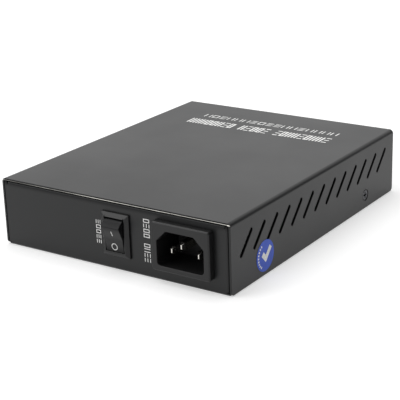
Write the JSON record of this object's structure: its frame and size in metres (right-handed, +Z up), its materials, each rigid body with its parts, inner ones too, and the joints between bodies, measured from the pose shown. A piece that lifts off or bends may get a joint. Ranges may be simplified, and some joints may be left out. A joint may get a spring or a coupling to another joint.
{
  "type": "fibre media converter",
  "caption": "Flat black sheet-steel case with slanted side vents, a mains inlet and a rocker switch at the rear, and copper and fibre network ports at the front.",
  "frame": {"origin": "centre of the case's underside", "axes": "+Z up, +Y towards the rear with the mains inlet, -Y towards the front with the network ports, +X to the right seen from the front"},
  "size_m": [0.1271, 0.1628, 0.0333],
  "materials": {
    "case_steel": "fine satin black powder coat on folded steel",
    "plated_steel": "zinc-plated steel",
    "seal_film": "printed film",
    "insulating_film": "smooth film",
    "inlet_plastic": "moulded, satin",
    "nickel_pins": "nickel-plated brass",
    "switch_plastic": "moulded, satin",
    "switch_metal": "stamped brass",
    "spring_steel": "drawn wire",
    "board_laminate": "solder resist on glass laminate",
    "black_moulding": "moulded",
    "gold_contacts": "gold-plated",
    "ceramic_sleeve": "polished",
    "led_resin": "clear tinted resin",
    "capacitor_sleeve": "sleeved can",
    "ferrite": "sintered, ground",
    "winding_tape": "polyester tape",
    "enamelled_copper": "enamelled wire",
    "film_capacitor_case": "moulded box",
    "fuse_glass": "glass with plated caps",
    "header_plastic": "moulded",
    "brown_wire": "extruded insulation",
    "blue_wire": "extruded insulation",
    "earth_wire": "extruded insulation",
    "red_wire": "extruded insulation"
  },
  "bodies": {
    "case": {"base_tray": "case_steel", "top_cover": "case_steel", "cover_screws": "plated_steel", "board_standoffs": "plated_steel", "board_screws": "plated_steel", "earth_stud": "plated_steel", "earth_nut": "plated_steel", "jack_shield": "plated_steel", "crystal": "plated_steel", "round_seal": "seal_film", "insulating_sheet": "insulating_film", "inlet_housing": "inlet_plastic", "inlet_line_pin": "nickel_pins", "inlet_neutral_pin": "nickel_pins", "inlet_earth_pin": "nickel_pins", "fuse_clips": "nickel_pins", "switch_housing": "switch_plastic", "switch_line_terminal": "switch_metal", "switch_load_terminal": "switch_metal", "converter_board": "board_laminate", "supply_board": "board_laminate", "jack_insert": "black_moulding", "fibre_housing": "black_moulding", "led_holder": "black_moulding", "converter_chip": "black_moulding", "line_transformer": "black_moulding", "voltage_regulators": "black_moulding", "bridge_rectifier": "black_moulding", "supply_chip": "black_moulding", "transformer_bobbin": "black_moulding", "output_diode": "black_moulding", "jack_contacts": "gold_contacts", "fibre_module_pins": "gold_contacts", "transmit_barrel": "ceramic_sleeve", "receive_barrel": "ceramic_sleeve", "status_leds": "led_resin", "board_capacitors": "capacitor_sleeve", "bulk_capacitor": "capacitor_sleeve", "output_capacitors": "capacitor_sleeve", "transformer_core": "ferrite", "choke_core": "ferrite", "transformer_winding": "winding_tape", "choke_winding": "enamelled_copper", "noise_capacitor": "film_capacitor_case", "fuse": "fuse_glass", "mains_terminal": "header_plastic", "output_header": "header_plastic", "power_socket": "header_plastic", "line_wire": "brown_wire", "switched_wire": "brown_wire", "neutral_wire": "blue_wire", "earth_wire": "earth_wire", "power_cable": "red_wire"},
    "rocker": {"switch_rocker": "switch_plastic", "switch_plunger": "switch_metal", "switch_spring": "spring_steel"},
    "contact": {"switch_contact": "switch_metal"}
  },
  "joints": [
    {"name": "rocker_hinge", "type": "hinge", "parent": "case", "child": "rocker", "pos_m": [-0.0034, 0.0764, 0.0173], "axis": [1, 0, 0], "range_deg": [0, 29.6]},
    {"name": "contact_hinge", "type": "hinge", "parent": "case", "child": "contact", "pos_m": [-0.0034, 0.0667, 0.0173], "axis": [1, 0, 0], "range_deg": [-10, 0]}
  ],
  "couplings": [
    {"joint": "contact_hinge", "follows": "rocker_hinge", "ratio": -0.3378}
  ]
}
